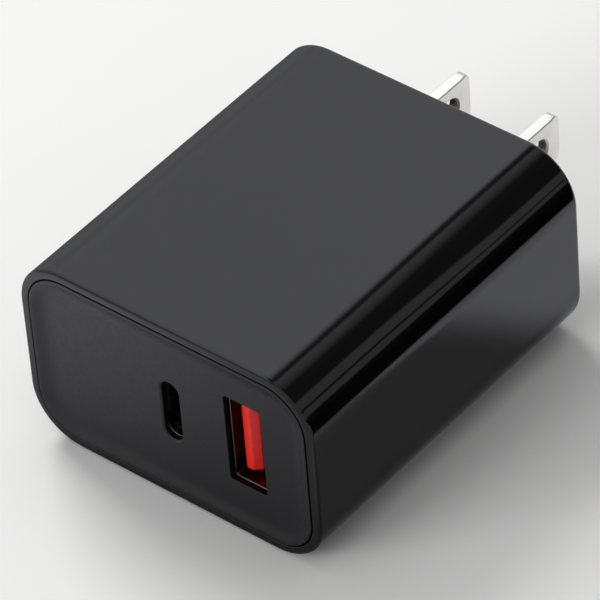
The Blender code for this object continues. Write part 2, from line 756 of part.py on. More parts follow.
def make_transformer():
    """Two E-shaped core halves on a bobbin with its winding, the winding axis upright."""
    group = add_group("transformer", TRANSFORMER)
    leg = CENTRE_LEG / 2
    inner = CORE_HALF_X - CORE_BACK
    back = CORE_HALF_Z - CORE_BACK
    face = GAP / 2
    half_outline = (
        (CORE_HALF_X, CORE_HALF_Z),
        (-CORE_HALF_X, CORE_HALF_Z),
        (-CORE_HALF_X, face),
        (-inner, face),
        (-inner, back),
        (-leg, back),
        (-leg, face),
        (leg, face),
        (leg, back),
        (inner, back),
        (inner, face),
        (CORE_HALF_X, face),
    )
    for name, sign in (("upper", 1), ("lower", -1)):
        outline = [(x, sign * z) for x, z in half_outline][::sign]
        plate(
            f"transformer_core_{name}", "dark_ferrite", outline, CORE_DEPTH, rotation=FACING_Y, parent=group
        )
    bore = (leg + GAP, CORE_DEPTH / 2 + GAP)
    barrel = [side + BOBBIN_WALL for side in bore]
    end = back - GAP
    cheek = end - FLANGE_THICK
    sections = ((-end, bore), (-end, FLANGE_HALF), (-cheek, FLANGE_HALF), (-cheek, barrel))
    sections += ((cheek, barrel), (cheek, FLANGE_HALF), (end, FLANGE_HALF), (end, bore))
    rings = [(z, rounded_rectangle(*half, BOBBIN_WALL)) for z, half in sections]
    stack("transformer_bobbin", "black_epoxy", rings, closed=True, parent=group)
    hollow = [side + GAP for side in barrel]
    tube(
        "transformer_winding",
        "yellow_tape",
        rounded_rectangle(*WINDING_HALF, BOBBIN_WALL),
        rounded_rectangle(*hollow, BOBBIN_WALL),
        GAP - cheek,
        cheek - GAP,
        parent=group,
    )


def make_choke():
    """A closed ferrite frame with one winding round each upright leg."""
    group = add_group("choke", CHOKE)
    half_x, half_z = CHOKE_HALF
    window = (half_x - CHOKE_LEG, half_z - CHOKE_LEG)
    corner = BOBBIN_WALL
    tube(
        "choke_core",
        "dark_ferrite",
        rounded_rectangle(half_x, half_z, corner),
        rounded_rectangle(*window, corner),
        -CHOKE_DEPTH / 2,
        CHOKE_DEPTH / 2,
        rotation=ALONG_Y,
        parent=group,
    )
    inner = (CHOKE_LEG / 2 + GAP, CHOKE_DEPTH / 2 + GAP)
    outer = [side + COIL_WALL for side in inner]
    reach = window[1] - GAP
    for side, sign in (("left", -1), ("right", 1)):
        tube(
            f"choke_winding_{side}",
            "copper",
            rounded_rectangle(*outer, corner),
            rounded_rectangle(*inner, corner),
            -reach,
            reach,
            location=(sign * (half_x - CHOKE_LEG / 2), 0, 0),
            parent=group,
        )


def can_profile(radius, height):
    """An upright can with a crimped groove near its foot and rounded ends."""
    groove, half_width, depth = CAN_GROOVE
    return (
        (0.0, height),
        (radius - CAN_ROUND, height),
        (radius, height - CAN_ROUND),
        (radius, groove + half_width),
        (radius - depth, groove),
        (radius, groove - half_width),
        (radius, CAN_FOOT),
        (radius - CAN_FOOT, 0.0),
        (0.0, 0.0),
    )


def disc_profile(radius, thickness):
    half = thickness / 2
    return (
        (0.0, half),
        (radius - DISC_ROUND, half),
        (radius, half - DISC_ROUND),
        (radius, DISC_ROUND - half),
        (radius - DISC_ROUND, -half),
        (0.0, -half),
    )


def make_cans_and_discs():
    for kind, finish, size, places in (
        ("bulk_capacitor", "can_sleeve", BULK_CAPACITOR, BULK_PLACES),
        ("output_capacitor", "aluminium", OUTPUT_CAPACITOR, OUTPUT_PLACES),
    ):
        for number, place in enumerate(places, start=1):
            turned(f"{kind}_{number}", finish, can_profile(*size), location=(*place, BOARD_TOP))
    turned("fuse", "brown_epoxy", can_profile(*FUSE), location=(*FUSE_PLACE, BOARD_TOP))
    for name, finish, size, centre in (
        ("varistor", "blue_epoxy", VARISTOR, VARISTOR_CENTRE),
        ("y_capacitor", "brown_epoxy", Y_CAPACITOR, Y_CAPACITOR_CENTRE),
    ):
        turned(name, finish, disc_profile(*size), location=centre, rotation=FACING_Y)


def make_box_parts():
    for table, level, sign in (
        (TOP_PARTS, BOARD_TOP, 1),
        (UNDER_PARTS, BOARD_UNDER, -1),
        (LOOSE_PARTS, 0.0, 1),
    ):
        for name, (finish, centre, size, edge) in table.items():
            x, y, height = in_metres(centre)
            box(name, finish, (x, y, level + sign * height), in_metres(size), edge * MM)


def make_heat_spreader():
    path = [in_metres(point) for point in SPREADER_PATH]
    outline = strip_outline(path, SPREADER_THICK)
    plate(
        "heat_spreader",
        "aluminium",
        outline,
        SPREADER_LENGTH,
        location=(0, SPREADER_Y, 0),
        rotation=FACING_Y,
    )


make_sleeve()
make_front_panel()
make_plug()
upright_board = make_boards()
make_usb_a(upright_board)
make_usb_c(upright_board)
make_transformer()
make_choke()
make_cans_and_discs()
make_box_parts()
make_heat_spreader()
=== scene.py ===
import json
import math

import bmesh
import bpy
from mathutils import Matrix, Vector


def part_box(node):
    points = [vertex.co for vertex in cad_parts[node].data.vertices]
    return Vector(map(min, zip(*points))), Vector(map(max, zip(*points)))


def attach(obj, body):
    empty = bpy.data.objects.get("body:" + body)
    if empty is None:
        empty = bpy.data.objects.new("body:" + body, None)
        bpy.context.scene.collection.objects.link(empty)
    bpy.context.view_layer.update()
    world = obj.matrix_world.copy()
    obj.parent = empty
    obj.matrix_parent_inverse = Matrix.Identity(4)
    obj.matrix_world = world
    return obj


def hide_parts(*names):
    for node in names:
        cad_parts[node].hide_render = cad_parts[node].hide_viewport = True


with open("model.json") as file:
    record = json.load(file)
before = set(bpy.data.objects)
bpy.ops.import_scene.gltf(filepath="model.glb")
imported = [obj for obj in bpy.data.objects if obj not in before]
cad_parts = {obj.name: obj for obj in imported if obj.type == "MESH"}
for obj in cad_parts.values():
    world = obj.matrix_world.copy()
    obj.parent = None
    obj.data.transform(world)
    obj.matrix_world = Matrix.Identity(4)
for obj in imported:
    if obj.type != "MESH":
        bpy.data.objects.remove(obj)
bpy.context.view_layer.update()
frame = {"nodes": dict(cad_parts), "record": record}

MM = 0.001
BODY = "charger"
ARC_STEPS = 6
CORNER_STEPS = 24
SHARP_ANGLE = math.radians(40)

# The body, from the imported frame
SLEEVE_LOW, SLEEVE_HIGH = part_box("housing_sleeve")
FRONT = SLEEVE_LOW.y
REAR = SLEEVE_HIGH.y
HALF_X = (SLEEVE_HIGH.x - SLEEVE_LOW.x) / 2
HALF_Z = (SLEEVE_HIGH.z - SLEEVE_LOW.z) / 2
MIDDLE = (SLEEVE_LOW + SLEEVE_HIGH) / 2
BODY_RADIUS = 6.5 * MM

# Sleeve section: insets are measured inwards from the outer skin
RIM = 1.12 * MM
WALL = 1.8 * MM
FRONT_FILLET = 0.45 * MM
REAR_FILLET = 0.7 * MM
LIP_FILLET = 0.12 * MM
FRONT_REBATE = 2.4 * MM
SEAM = 0.14 * MM  # the dark line between two housing pieces
PANEL_DRIFT = 0.08 * MM  # the panel sits this much low and left in its opening

COVER_LEDGE_DEPTH = 1.9 * MM  # the sleeve's rear ledge, in front of the cover's face

# Front panel: a shallow dish with a soft border
DISH_DEPTH = 0.7 * MM
DISH_INNER = 5.4 * MM
DISH_RINGS = 20
PANEL_THICK = 0.76 * MM
SKIRT_INSET = 2.1 * MM
SKIRT_WALL = 1.0 * MM
SKIRT_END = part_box("front_panel")[1].y
SHOULDER_GAP = 0.1 * MM  # between the panel's shoulder and the sleeve

# Rear cover
COVER_THICK = 1.6 * MM
BOSS_HALF = (8.2 * MM, 4.6 * MM)
BOSS_RADIUS = 0.5 * MM
SLOT_GAP = 0.05 * MM
SLOT_RADIUS = 0.2 * MM

# Plug blades
BLADE_CORNER = 1.05 * MM
BLADE_TAPER_LENGTH = 1.6 * MM
BLADE_TAPER = 0.24  # share of the thickness that is lost at the tip
BLADE_EDGE = 0.14 * MM
BLADE_HOLE_FROM_TIP = 4.0 * MM
BLADE_HOLE_RADIUS = 1.59 * MM
BLADE_HOLE_FLARE = 0.2 * MM
BLADE_RIM_ANGLE = 0.9  # radians; sharper edges than this are rounded
BLADE_SHARP_ANGLE = math.radians(30)

# Sockets, placed by their shells
USB_A_LOW, USB_A_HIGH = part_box("usb_a_shell")
USB_A = (USB_A_LOW + USB_A_HIGH) / 2
USB_C_LOW, USB_C_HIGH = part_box("usb_c_shell")
USB_C = (USB_C_LOW + USB_C_HIGH) / 2
SHELL_WALL = 0.3 * MM
SHELL_LIP = 0.2 * MM  # thickness of the bead round the mouth
SHELL_BEAD_END = 0.8 * MM  # where the bead has run out into the wall
SHELL_FRONT = FRONT + DISH_DEPTH + PANEL_THICK + 0.02 * MM

# Openings in the panel: half width, half height, corner radius and the edge's width and depth
USB_A_WINDOW = (2.56 * MM, 6.12 * MM, 0.45 * MM, 0.08 * MM, 0.08 * MM)
USB_C_WINDOW = (1.23 * MM, 4.14 * MM, 1.22 * MM, 0.34 * MM, 0.22 * MM)
USB_C_DRIFT = Vector((0.0, 0.0, -0.28 * MM))  # of the opening, from the middle of the shell

# Inside the sockets: depths are measured from the mouth of the shell
BASE_FIT = 0.05 * MM
BASE_EDGE = 0.1 * MM
USB_A_CORNER = 0.9 * MM
USB_A_BEAD_INSET = 0.36 * MM
USB_A_BASE_DEPTH = 10.7 * MM
USB_A_TONGUE_X = (-1.70 * MM, 0.14 * MM)
USB_A_TONGUE_Z = (-5.42 * MM, 5.45 * MM)
USB_A_TONGUE_ROOT = 11.2 * MM
USB_A_TONGUE_EDGE = 0.13 * MM
USB_A_NOSE_DEPTH = 0.5 * MM
USB_A_NOSE_FLAT = 1.0 * MM
USB_A_NOSE_SLOPE = 0.8 * MM
GROOVE_X = (-1.10 * MM, 0.35 * MM)
GROOVE_START = 1.5 * MM
GROOVE_GAP = 0.2 * MM
SPRING_THICK = 0.26 * MM
SPRING_EDGE = 0.05 * MM
SPRING_STEPS = 5
SPRING_PATH = (
    (-0.40, 14.3),
    (-0.40, 12.2),
    (-0.40, 10.2),
    (-0.12, 7.8),
    (0.22, 5.2),
    (0.44, 4.0),
    (0.46, 3.1),
    (0.22, 2.3),
    (-0.05, 1.7),
)  # millimetres, across from the socket's middle and back from its mouth
USB_C_CORNER = 1.60 * MM
USB_C_BASE_DEPTH = 5.5 * MM
USB_C_TONGUE_HALF = (0.40 * MM, 3.34 * MM)
USB_C_TONGUE_FRONT = 0.9 * MM
USB_C_TONGUE_ROOT = 6.0 * MM
USB_C_TONGUE_EDGE = 0.12 * MM
PIN_HOLE_START = 5.0 * MM
PIN_HOLE_GAP = Vector((0.04 * MM, 0.0, 0.05 * MM))


def arc(centre_y, centre_inset, radius, start, end, steps=ARC_STEPS):
    """Points (y, inset) on an arc. 180 degrees points to the front and 270 to the outer skin."""
    points = []
    for step in range(steps + 1):
        angle = math.radians(start + (end - start) * step / steps)
        points.append((centre_y + radius * math.cos(angle), centre_inset + radius * math.sin(angle)))
    return points


def rounded_rectangle(half_x, half_z, radius, steps=CORNER_STEPS):
    points = []
    for corner, (side_x, side_z) in enumerate(((1, 1), (-1, 1), (-1, -1), (1, -1))):
        for step in range(steps + 1):
            angle = math.radians(90) * (corner + step / steps)
            x = side_x * (half_x - radius) + radius * math.cos(angle)
            z = side_z * (half_z - radius) + radius * math.sin(angle)
            points.append((x, z))
    return points


def body_outline(inset):
    return rounded_rectangle(HALF_X - inset, HALF_Z - inset, BODY_RADIUS - inset)


def ring(bm, outline, y, centre=MIDDLE):
    """A loop of vertices in the plane at y."""
    return [bm.verts.new((centre.x + x, y, centre.z + z)) for x, z in outline]


def bridge(bm, first, second):
    for index in range(len(first)):
        bm.faces.new((first[index - 1], first[index], second[index], second[index - 1]))


def fill(bm, *loops):
    """Closes a flat area: the first loop is its border and the others are its holes."""
    edges = []
    for loop in loops:
        for index in range(len(loop)):
            pair = (loop[index - 1], loop[index])
            edges.append(bm.edges.get(pair) or bm.edges.new(pair))
    bmesh.ops.triangle_fill(bm, use_beauty=True, edges=edges)


def to_object(name, bm, sharp=SHARP_ANGLE):
    bmesh.ops.recalc_face_normals(bm, faces=bm.faces)
    mesh = bpy.data.meshes.new(name)
    bm.to_mesh(mesh)
    bm.free()
    mesh.shade_smooth()
    mesh.set_sharp_from_angle(angle=sharp)
    obj = bpy.data.objects.new(name, mesh)
    bpy.context.scene.collection.objects.link(obj)
    return obj


def flatten_shading(obj):
    """Lets the large flat faces set the shading, so that a small fillet doesn't bend it."""
    modifier = obj.modifiers.new("weighted", "WEIGHTED_NORMAL")
    modifier.keep_sharp = True
    modifier.weight = 100


def loops_through(bm, sections, outline_at, centre=MIDDLE, closed=False):
    loops = [ring(bm, outline_at(inset), y, centre) for y, inset in sections]
    for first, second in zip(loops, loops[1:]):
        bridge(bm, first, second)
    if closed:
        bridge(bm, loops[-1], loops[0])
    return loops


def solid_block(name, sections, outline_at, centre):
    """A closed block through outlines, with both ends filled."""
    bm = bmesh.new()
    loops = loops_through(bm, sections, outline_at, centre)
    fill(bm, loops[0])
    fill(bm, loops[-1])
    return to_object(name, bm)


def prism(name, outline, low_z, high_z, edge=0.0):
    """An outline in the XY plane raised along Z, with its edges rounded where edge is given."""
    bm = bmesh.new()
    bottom = [bm.verts.new((x, y, low_z)) for x, y in outline]
    top = [bm.verts.new((x, y, high_z)) for x, y in outline]
    bridge(bm, bottom, top)
    bm.faces.new(bottom)
    bm.faces.new(top)
    bmesh.ops.recalc_face_normals(bm, faces=bm.faces)
    if edge:
        bmesh.ops.bevel(bm, geom=list(bm.edges), offset=edge, segments=3, profile=0.5, affect="EDGES")
    return to_object(name, bm)


def box_solid(name, low, high, edge=0.0):
    outline = [(low[0], low[1]), (high[0], low[1]), (high[0], high[1]), (low[0], high[1])]
    return prism(name, outline, low[2], high[2], edge)


def combine(piece, tools, operation):
    """Applies Booleans to a piece and removes the tools."""
    for tool in tools:
        modifier = piece.modifiers.new(tool.name, "BOOLEAN")
        modifier.operation = operation
        modifier.object = tool
        modifier.solver = "EXACT"
    graph = bpy.context.evaluated_depsgraph_get()
    mesh = bpy.data.meshes.new_from_object(piece.evaluated_get(graph))
    piece.modifiers.clear()
    piece.data = mesh
    for tool in tools:
        bpy.data.objects.remove(tool, do_unlink=True)
    mesh.shade_smooth()
    mesh.set_sharp_from_angle(angle=SHARP_ANGLE)


# ---------------------------------------------------------------- materials


class Surface:
    """A Principled material whose colour, roughness and relief come from noise in object space."""

    def __init__(self, name, colour, roughness, metallic=0.0):
        self.material = bpy.data.materials.new(name)
        self.material.use_nodes = True
        self.nodes = self.material.node_tree.nodes
        self.links = self.material.node_tree.links
        self.shader = self.nodes["Principled BSDF"]
        self.colour = colour
        self.shader.inputs["Base Color"].default_value = (*colour, 1.0)
        self.shader.inputs["Roughness"].default_value = roughness
        self.shader.inputs["Metallic"].default_value = metallic
        self.coordinates = self.nodes.new("ShaderNodeTexCoord")

    def set(self, **inputs):
        for label, value in inputs.items():
            self.shader.inputs[label.replace("_", " ")].default_value = value
        return self

    def noise(self, feature, detail=3.0, stretch=(1.0, 1.0, 1.0)):
        """Noise whose features are about this many metres across."""
        mapping = self.nodes.new("ShaderNodeMapping")
        mapping.inputs["Scale"].default_value = stretch
        self.links.new(self.coordinates.outputs["Object"], mapping.inputs["Vector"])
        texture = self.nodes.new("ShaderNodeTexNoise")
        texture.inputs["Scale"].default_value = 1.0 / feature
        texture.inputs["Detail"].default_value = detail
        self.links.new(mapping.outputs["Vector"], texture.inputs["Vector"])
        return texture.outputs["Fac"]

    def bands(self, width, axis):
        """Even bands of this many metres across, for wire turns and laid tape."""
        texture = self.nodes.new("ShaderNodeTexWave")
        texture.wave_type = "BANDS"
        texture.bands_direction = axis
        texture.inputs["Scale"].default_value = 0.314 / width
        texture.inputs["Distortion"].default_value = 0.4
        self.links.new(self.coordinates.outputs["Object"], texture.inputs["Vector"])
        return texture.outputs["Fac"]

    def span(self, value, low, high, start=0.3, end=0.7):
        node = self.nodes.new("ShaderNodeMapRange")
        node.inputs["From Min"].default_value = start
        node.inputs["From Max"].default_value = end
        node.inputs["To Min"].default_value = low
        node.inputs["To Max"].default_value = high
        self.links.new(value, node.inputs["Value"])
        return node.outputs["Result"]

    def vary_colour(self, value, other, start=0.3, end=0.7):
        ramp = self.nodes.new("ShaderNodeMix")
        ramp.data_type = "RGBA"
        ramp.inputs["A"].default_value = (*self.colour, 1.0)
        ramp.inputs["B"].default_value = (*other, 1.0)
        self.links.new(self.span(value, 0.0, 1.0, start, end), ramp.inputs["Factor"])
        self.links.new(ramp.outputs["Result"], self.shader.inputs["Base Color"])
        return self

    def vary_roughness(self, value, low, high):
        self.links.new(self.span(value, low, high), self.shader.inputs["Roughness"])
        return self

    def relief(self, value, depth, strength=1.0):
        bump = self.nodes.new("ShaderNodeBump")
        bump.inputs["Distance"].default_value = depth
        bump.inputs["Strength"].default_value = strength
        self.links.new(value, bump.inputs["Height"])
        earlier = self.shader.inputs["Normal"].links
        if earlier:
            self.links.new(earlier[0].from_socket, bump.inputs["Normal"])
        self.links.new(bump.outputs["Normal"], self.shader.inputs["Normal"])
        return self


def gloss_black():
    surface = Surface("gloss_black", (0.0020, 0.0020, 0.0022), 0.05).set(IOR=1.5)
    surface.vary_colour(surface.noise(9 * MM), (0.0026, 0.0026, 0.0029))
    surface.vary_roughness(surface.noise(2.5 * MM, 6.0), 0.035, 0.075)
    surface.relief(surface.noise(3.0 * MM, 1.0), 0.004 * MM, 0.35)
    return surface.material


def matte_black():
    surface = Surface("matte_black", (0.0075, 0.0075, 0.0082), 0.42).set(IOR=1.5)
    surface.vary_colour(surface.noise(0.22 * MM, 4.0), (0.0095, 0.0095, 0.0105))
    surface.vary_roughness(surface.noise(0.5 * MM), 0.36, 0.48)
    surface.relief(surface.noise(0.16 * MM, 2.0), 0.012 * MM, 0.5)
    return surface.material


def recess_black_painted_shade():
    """The panel's black in the walls of the socket openings: rough, and darker than the face as painted
    shade.
    """
    surface = Surface("recess_black_painted_shade", (0.0022, 0.0022, 0.0025), 0.8).set(Specular_IOR_Level=0.12)
    surface.vary_colour(surface.noise(0.22 * MM, 4.0), (0.0032, 0.0032, 0.0036))
    surface.vary_roughness(surface.noise(0.5 * MM), 0.74, 0.86)
    surface.relief(surface.noise(0.16 * MM, 2.0), 0.012 * MM, 0.5)
    return surface.material


def rear_black():
    surface = Surface("rear_black", (0.008, 0.008, 0.009), 0.35)
    surface.vary_colour(surface.noise(0.3 * MM, 4.0), (0.011, 0.011, 0.012))
    surface.vary_roughness(surface.noise(1.2 * MM), 0.28, 0.42)
    surface.relief(surface.noise(0.2 * MM, 2.0), 0.01 * MM, 0.4)
    return surface.material


def nickel():
    surface = Surface("nickel", (0.75, 0.735, 0.69), 0.3, 1.0)
    surface.vary_colour(surface.noise(1.6 * MM, 4.0), (0.69, 0.672, 0.62))
    along = surface.noise(0.06 * MM, 2.0, (1.0, 0.012, 1.0))
    surface.vary_roughness(along, 0.27, 0.35)
    surface.relief(along, 0.0006 * MM, 0.5)
    return surface.material


def steel():
    # The dark base colour is painted shade: the shells sit in shadow inside the sockets.
    surface = Surface("bright_steel", (0.28, 0.235, 0.21), 0.22, 1.0)
    surface.vary_colour(surface.noise(1.2 * MM, 4.0), (0.22, 0.185, 0.165))
    surface.vary_roughness(surface.noise(0.4 * MM), 0.18, 0.28)
    surface.relief(surface.noise(0.7 * MM, 2.0), 0.002 * MM, 0.4)
    return surface.material


def red_plastic():
    surface = Surface("red_plastic", (0.80, 0.020, 0.014), 0.34)
    surface.set(Subsurface_Weight=0.1, Subsurface_Scale=0.0005, IOR=1.6)
    surface.vary_colour(surface.noise(0.7 * MM, 4.0), (0.70, 0.016, 0.010))
    surface.vary_roughness(surface.noise(0.4 * MM), 0.28, 0.42)
    surface.relief(surface.noise(0.12 * MM), 0.003 * MM, 0.5)
    return surface.material


def speckled(name, colour, other, feature, roughness, metallic=0.0, depth=0.01):
    """A plain technical surface with fine mottling and relief."""
    surface = Surface(name, colour, roughness, metallic)
    surface.vary_colour(surface.noise(feature, 5.0), other)
    surface.vary_roughness(surface.noise(feature * 2.0), roughness * 0.8, roughness * 1.2)
    surface.relief(surface.noise(feature * 0.6), depth * MM, 0.6)
    return surface.material


def banded(name, colour, other, width, roughness, metallic=0.0):
    """A winding: even turns of wire or tape laid round an upright axis."""
    surface = Surface(name, colour, roughness, metallic)
    turns = surface.bands(width, "Z")
    surface.vary_colour(turns, other, 0.0, 0.4)
    surface.vary_roughness(surface.noise(0.8 * MM), roughness * 0.8, roughness * 1.2)
    surface.relief(turns, width * 0.4)
    return surface.material


def board_green():
    surface = Surface("board_green", (0.012, 0.10, 0.035), 0.4)
    cells = surface.nodes.new("ShaderNodeTexVoronoi")
    cells.feature = "DISTANCE_TO_EDGE"
    cells.inputs["Scale"].default_value = 450.0
    surface.links.new(surface.coordinates.outputs["Object"], cells.inputs["Vector"])
    surface.vary_colour(cells.outputs["Distance"], (0.02, 0.17, 0.06), 0.02, 0.08)
    surface.vary_roughness(surface.noise(0.6 * MM), 0.32, 0.48)
    surface.relief(cells.outputs["Distance"], 0.02 * MM, 0.3)
    return surface.material


MATERIALS = {
    "gloss_black": gloss_black(),
    "matte_black": matte_black(),
    "rear_black": rear_black(),
    "nickel": nickel(),
    "bright_steel": steel(),
    "red_plastic": red_plastic(),
    "dark_plastic": speckled("dark_plastic", (0.012, 0.012, 0.013), (0.02, 0.02, 0.021), 0.2 * MM, 0.42),
    "gold": speckled("gold", (0.83, 0.60, 0.25), (0.74, 0.52, 0.2), 0.5 * MM, 0.25, 1.0, 0.001),
    "board_green": board_green(),
    "tin": speckled("tin", (0.66, 0.66, 0.65), (0.55, 0.55, 0.54), 0.3 * MM, 0.3, 1.0, 0.004),
    "bronze": speckled("bronze", (0.66, 0.42, 0.22), (0.55, 0.34, 0.17), 0.6 * MM, 0.32, 1.0, 0.002),
    "brown_epoxy": speckled("brown_epoxy", (0.15, 0.055, 0.026), (0.11, 0.04, 0.02), 0.8 * MM, 0.35),
    "blue_epoxy": speckled("blue_epoxy", (0.045, 0.14, 0.38), (0.035, 0.11, 0.3), 0.8 * MM, 0.32),
    "yellow_plastic": speckled("yellow_plastic", (0.72, 0.52, 0.07), (0.64, 0.45, 0.05), 0.9 * MM, 0.42),
    "dark_ferrite": speckled("dark_ferrite", (0.045, 0.045, 0.05), (0.03, 0.03, 0.034), 0.25 * MM, 0.6),
    "copper": banded("copper", (0.70, 0.27, 0.12), (0.38, 0.12, 0.05), 0.35 * MM, 0.3, 1.0),
    "black_epoxy": speckled("black_epoxy", (0.018, 0.018, 0.019), (0.03, 0.03, 0.031), 0.12 * MM, 0.55),
    "can_sleeve": speckled("can_sleeve", (0.02, 0.035, 0.1), (0.03, 0.05, 0.13), 1.2 * MM, 0.3),
    "aluminium": speckled("aluminium", (0.74, 0.75, 0.76), (0.62, 0.63, 0.64), 0.4 * MM, 0.35, 1.0, 0.003),
    "yellow_tape": banded("yellow_tape", (0.78, 0.58, 0.08), (0.6, 0.42, 0.04), 1.6 * MM, 0.45),
    "paper_sheet": speckled("paper_sheet", (0.72, 0.71, 0.67), (0.62, 0.61, 0.57), 0.3 * MM, 0.8),
    "grey_silicone": speckled("grey_silicone", (0.33, 0.36, 0.4), (0.28, 0.31, 0.35), 0.3 * MM, 0.7),
}


def dress(piece, slot, replaces, body=BODY):
    """Gives a new piece its material and body, and hides the CAD nodes that it stands for."""
    piece.data.materials.append(MATERIALS[slot])
    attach(piece, body)
    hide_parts(*replaces)


# ---------------------------------------------------------------- housing


def make_sleeve():
    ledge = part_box("plug_plate")[1].y - COVER_LEDGE_DEPTH
    sections = arc(FRONT + FRONT_FILLET, FRONT_FILLET, FRONT_FILLET, 180, 270)
    sections += arc(REAR - REAR_FILLET, REAR_FILLET, REAR_FILLET, 270, 360)
    sections += arc(REAR - LIP_FILLET, RIM - LIP_FILLET, LIP_FILLET, 0, 90)
    sections += [(ledge, RIM), (ledge, WALL), (FRONT + FRONT_REBATE, WALL), (FRONT + FRONT_REBATE, RIM)]
    sections += arc(FRONT + LIP_FILLET, RIM - LIP_FILLET, LIP_FILLET, 90, 180)
    bm = bmesh.new()
    loops_through(bm, sections, body_outline, closed=True)
    sleeve = to_object("sleeve", bm)
    flatten_shading(sleeve)
    dress(sleeve, "gloss_black", ("housing_sleeve",))


def window_loops(bm, centre, window, face, back):
    """The wall of a socket opening, from the soft edge at its front to the panel's back."""
    half_x, half_z, corner, edge_width, edge_depth = window
    sections = []
    for step in range(ARC_STEPS + 1):
        turn = math.radians(90) * step / ARC_STEPS
        y = face + edge_depth * (1.0 - math.cos(turn))
        sections.append((y, edge_width * (1.0 - math.sin(turn))))
    sections.append((back, 0.0))

    def outline_at(offset):
        return rounded_rectangle(half_x + offset, half_z + offset, corner + offset, ARC_STEPS * 2)

    loops = loops_through(bm, sections, outline_at, centre)
    straight = loops[-2] + loops[-1]
    for vert in loops[-2]:
        for wall in vert.link_faces:
            if all(end in straight for end in wall.verts):
                # These walls take the darker material, whose colour is painted shade.
                wall.material_index = 1  # recess_black_painted_shade, behind the soft edge
    return loops


def dish_fall(t):
    """How far the dish has sunk at a share t of its width: quickly at first, then levelling out."""
    return 1.0 - (1.0 - t) ** 6 * (1.0 + 6.0 * t)


def make_panel():
    face = FRONT + DISH_DEPTH
    back = face + PANEL_THICK
    inset = RIM + SEAM
    dish_outer = inset + LIP_FILLET
    sections = []
    for step in range(DISH_RINGS):
        share = 1.0 - step / DISH_RINGS
        y = FRONT + DISH_DEPTH * dish_fall(share)
        sections.append((y, dish_outer + (DISH_INNER - dish_outer) * share))
    sections += arc(FRONT + LIP_FILLET, inset + LIP_FILLET, LIP_FILLET, 180, 270)
    shoulder = FRONT + FRONT_REBATE - SHOULDER_GAP
    sections += [(shoulder, inset), (shoulder, SKIRT_INSET), (SKIRT_END, SKIRT_INSET)]
    sections += [(SKIRT_END, SKIRT_INSET + SKIRT_WALL), (back, SKIRT_INSET + SKIRT_WALL)]
    bm = bmesh.new()
    drifted = MIDDLE + Vector((-PANEL_DRIFT, 0.0, -PANEL_DRIFT))
    loops = loops_through(bm, sections, body_outline, drifted)
    wide = window_loops(bm, USB_A, USB_A_WINDOW, face, back)
    slim = window_loops(bm, USB_C + USB_C_DRIFT, USB_C_WINDOW, face, back)
    fill(bm, loops[0], wide[0], slim[0])
    fill(bm, loops[-1], wide[-1], slim[-1])
    panel = to_object("face_panel", bm)
    flatten_shading(panel)
    dress(panel, "matte_black", ("front_panel",))
    # The second material darkens the opening walls as painted shade.
    panel.data.materials.append(recess_black_painted_shade())


def make_rear_cover():
    low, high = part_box("plug_plate")
    face = high.y
    back = face - COVER_THICK
    inset = RIM + SEAM
    bm = bmesh.new()
    sections = arc(face - LIP_FILLET, inset + LIP_FILLET, LIP_FILLET, 360, 270)
    sections.append((back, inset))
    loops = loops_through(bm, sections, body_outline)
    boss_outline = rounded_rectangle(*BOSS_HALF, BOSS_RADIUS, ARC_STEPS)
    boss = [ring(bm, boss_outline, y) for y in (back, low.y)]
    bridge(bm, *boss)
    slots = []
    for side in ("left", "right"):
        blade_low, blade_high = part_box(f"blade_{side}")
        centre = (blade_low + blade_high) / 2
        half_x = (blade_high.x - blade_low.x) / 2 + SLOT_GAP
        half_z = (blade_high.z - blade_low.z) / 2 + SLOT_GAP
        slot_outline = rounded_rectangle(half_x, half_z, SLOT_RADIUS, ARC_STEPS)
        slots.append([ring(bm, slot_outline, y, centre) for y in (face, low.y)])
        bridge(bm, *slots[-1])
    fill(bm, loops[0], slots[0][0], slots[1][0])
    fill(bm, loops[-1], boss[0])
    fill(bm, boss[1], slots[0][1], slots[1][1])
    cover = to_object("rear_cover", bm)
    flatten_shading(cover)
    dress(cover, "rear_black", ("plug_plate",))


def make_drill(middle, half_x, hole_y):
    """A cylinder across a blade, flared at both of the blade's faces."""
    wide = BLADE_HOLE_RADIUS + 2 * BLADE_HOLE_FLARE
    profile = (
        (-half_x - BLADE_HOLE_FLARE, wide),
        (BLADE_HOLE_FLARE - half_x, BLADE_HOLE_RADIUS),
        (half_x - BLADE_HOLE_FLARE, BLADE_HOLE_RADIUS),
        (half_x + BLADE_HOLE_FLARE, wide),
    )
    bm = bmesh.new()
    loops = []
    for x, radius in profile:
        circle = []
        for step in range(CORNER_STEPS * 2):
            angle = math.tau * step / (CORNER_STEPS * 2)
            y = hole_y + radius * math.cos(angle)
            circle.append(bm.verts.new((middle.x + x, y, middle.z + radius * math.sin(angle))))
        loops.append(circle)
    for first, second in zip(loops, loops[1:]):
        bridge(bm, first, second)
    bm.faces.new(loops[0])
    bm.faces.new(loops[-1])
    return to_object("drill", bm)


